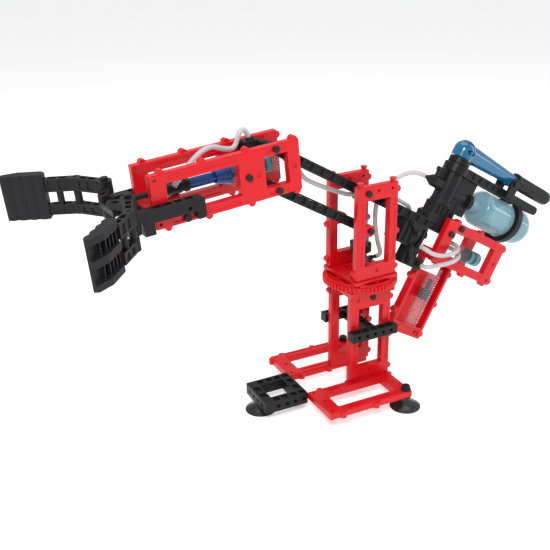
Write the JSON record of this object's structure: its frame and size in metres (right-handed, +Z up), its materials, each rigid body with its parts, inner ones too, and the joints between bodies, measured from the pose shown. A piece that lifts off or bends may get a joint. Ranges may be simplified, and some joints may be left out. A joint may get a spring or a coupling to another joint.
{
  "type": "hydraulic robot arm kit",
  "caption": "tabletop water-powered lever arm on three suction feet, with a turntable, parallel lift beams, piston gripper, hand pump, air tank and hoses",
  "frame": {"origin": "centre of the bottom of the overall box, on the surface that the suction cups stand on", "axes": "+X from the gripper towards the pump along the base, the longest extent; +Z up; +Y away from the side that shows the pump hoses"},
  "size_m": [0.6119, 0.2176, 0.3084],
  "materials": {
    "red_plastic": "moulded gloss red",
    "black_plastic": "moulded semi-matt black",
    "black_pins": "moulded black",
    "black_rubber": "soft black",
    "pad_rubber": "fluted black",
    "clear_plastic": "clear moulded",
    "piston_black": "black with turquoise seals",
    "dark_blue_plastic": "moulded dark blue",
    "lever_blue": "translucent blue",
    "tank_blue": "translucent pale blue",
    "hose_clear": "milky soft hose"
  },
  "bodies": {
    "base": {"base_frame_near": "red_plastic", "base_frame_far": "red_plastic", "base_square": "black_plastic", "suction_cups": "black_rubber", "base_knobs": "black_plastic", "lower_frame_near": "red_plastic", "lower_frame_far": "red_plastic", "tower_brace": "black_plastic", "bearing_plate": "red_plastic"},
    "turret": {"turntable_gear": "red_plastic", "turret_plate": "red_plastic", "upper_frame_near": "red_plastic", "upper_frame_far": "red_plastic", "lift_cylinder_barrel": "clear_plastic", "lift_cylinder_fittings": "black_plastic", "tower_axles": "black_pins"},
    "lift_rod": {"lift_piston": "piston_black"},
    "lift_arm": {"upper_lift_beam": "black_plastic", "rear_frame_near": "red_plastic", "rear_frame_far": "red_plastic", "console_pins": "black_pins", "hand_cylinder_tray": "red_plastic", "hand_cylinder_barrel": "clear_plastic", "rear_cylinder_barrel": "clear_plastic", "hose_fittings": "black_plastic", "valve_block": "black_plastic", "pump_bracket": "black_plastic", "pump_barrel": "black_plastic", "pump_check_valve": "black_plastic", "pump_bar": "black_plastic", "air_tank": "tank_blue", "tank_fittings": "black_plastic", "hose_valve_loops": "hose_clear", "hose_lift_arm": "hose_clear", "hoses_console": "hose_clear"},
    "hand_plunger": {"hand_cylinder_plunger": "piston_black"},
    "rear_piston": {"rear_cylinder_piston": "piston_black"},
    "valve_a": {"valve_lever_upper": "black_plastic"},
    "valve_b": {"valve_lever_lower": "black_plastic"},
    "pump_slide": {"pump_rod": "lever_blue"},
    "pump_handle": {"pump_lever": "lever_blue", "pump_grip": "black_plastic"},
    "lower_link": {"lower_lift_beam": "black_plastic"},
    "forearm": {"forearm_frame_near": "red_plastic", "forearm_frame_far": "red_plastic", "forearm_pins": "black_pins", "gripper_barrel": "clear_plastic", "gripper_barrel_guide": "dark_blue_plastic", "gripper_ports": "black_plastic", "gripper_yoke": "black_plastic", "wrist_pins": "black_pins", "hose_gripper_front": "hose_clear", "hose_forearm": "hose_clear"},
    "gripper_slide": {"gripper_piston": "piston_black", "gripper_plunger": "dark_blue_plastic", "gripper_crosshead": "black_plastic"},
    "finger_far": {"finger_far_arms": "black_plastic", "finger_far_pad": "pad_rubber"},
    "finger_near": {"finger_near_arms": "black_plastic", "finger_near_pad": "pad_rubber"}
  },
  "joints": [
    {"name": "turntable", "type": "hinge", "parent": "base", "child": "turret", "pos_m": [0.03753, 0.02529, 0.13], "axis": [0, 0, 1], "range_deg": [-7, 32]},
    {"name": "shoulder", "type": "hinge", "parent": "turret", "child": "lift_arm", "pos_m": [0.02505, 0.02453, 0.2326], "axis": [-0.061, 0.9981, 0], "range_deg": [-25, 5]},
    {"name": "lower_link_swing", "type": "hinge", "parent": "turret", "child": "lower_link", "pos_m": [0.02853, 0.02474, 0.19275], "axis": [-0.061, 0.9981, 0], "range_deg": [-25.1, 5.1]},
    {"name": "forearm_level", "type": "hinge", "parent": "lift_arm", "child": "forearm", "pos_m": [-0.07695, 0.01829, 0.2916], "axis": [-0.061, 0.9981, 0], "range_deg": [-5.1, 25.1]},
    {"name": "lift_piston_slide", "type": "slide", "parent": "turret", "child": "lift_rod", "axis": [0, 0, 1], "range_m": [-0.0018, 0.0083]},
    {"name": "gripper_piston_slide", "type": "slide", "parent": "forearm", "child": "gripper_slide", "axis": [0.9943, 0.0608, 0.0872], "range_m": [0, 0.01607]},
    {"name": "finger_far_swing", "type": "hinge", "parent": "forearm", "child": "finger_far", "pos_m": [-0.22272, 0.03843, 0.25388], "axis": [-0.087, -0.0053, 0.9962], "range_deg": [0, 58.2]},
    {"name": "finger_near_swing", "type": "hinge", "parent": "forearm", "child": "finger_near", "pos_m": [-0.21918, -0.01946, 0.25388], "axis": [-0.087, -0.0053, 0.9962], "range_deg": [-58.2, 0]},
    {"name": "pump_lever_swing", "type": "hinge", "parent": "lift_arm", "child": "pump_handle", "pos_m": [0.23916, 0.03262, 0.20361], "axis": [-0.061, 0.9981, 0], "range_deg": [0, 5]},
    {"name": "pump_rod_slide", "type": "slide", "parent": "lift_arm", "child": "pump_slide", "axis": [0.4991, 0.0305, 0.866], "range_m": [0, 0.0075]},
    {"name": "valve_upper_turn", "type": "hinge", "parent": "lift_arm", "child": "valve_a", "pos_m": [0.0976, 0.00743, 0.17523], "axis": [-0.061, 0.9981, 0], "range_deg": [-25, 25]},
    {"name": "valve_lower_turn", "type": "hinge", "parent": "lift_arm", "child": "valve_b", "pos_m": [0.08825, 0.00686, 0.146], "axis": [-0.061, 0.9981, 0], "range_deg": [-30, 0]},
    {"name": "hand_cylinder_slide", "type": "slide", "parent": "lift_arm", "child": "hand_plunger", "axis": [0.4991, 0.0305, 0.866], "range_m": [-0.022, 0.008]},
    {"name": "rear_cylinder_slide", "type": "slide", "parent": "lift_arm", "child": "rear_piston", "axis": [0.8644, 0.0529, -0.5], "range_m": [-0.05, 0.001]}
  ],
  "couplings": [
    {"joint": "lower_link_swing", "follows": "shoulder", "ratio": 1},
    {"joint": "forearm_level", "follows": "shoulder", "ratio": -1},
    {"joint": "lift_piston_slide", "follows": "shoulder", "m_per_rad": -0.0185},
    {"joint": "finger_far_swing", "follows": "gripper_piston_slide", "rad_per_m": 62.993},
    {"joint": "finger_near_swing", "follows": "gripper_piston_slide", "rad_per_m": -62.993},
    {"joint": "pump_rod_slide", "follows": "pump_lever_swing", "m_per_rad": 0.0834}
  ]
}
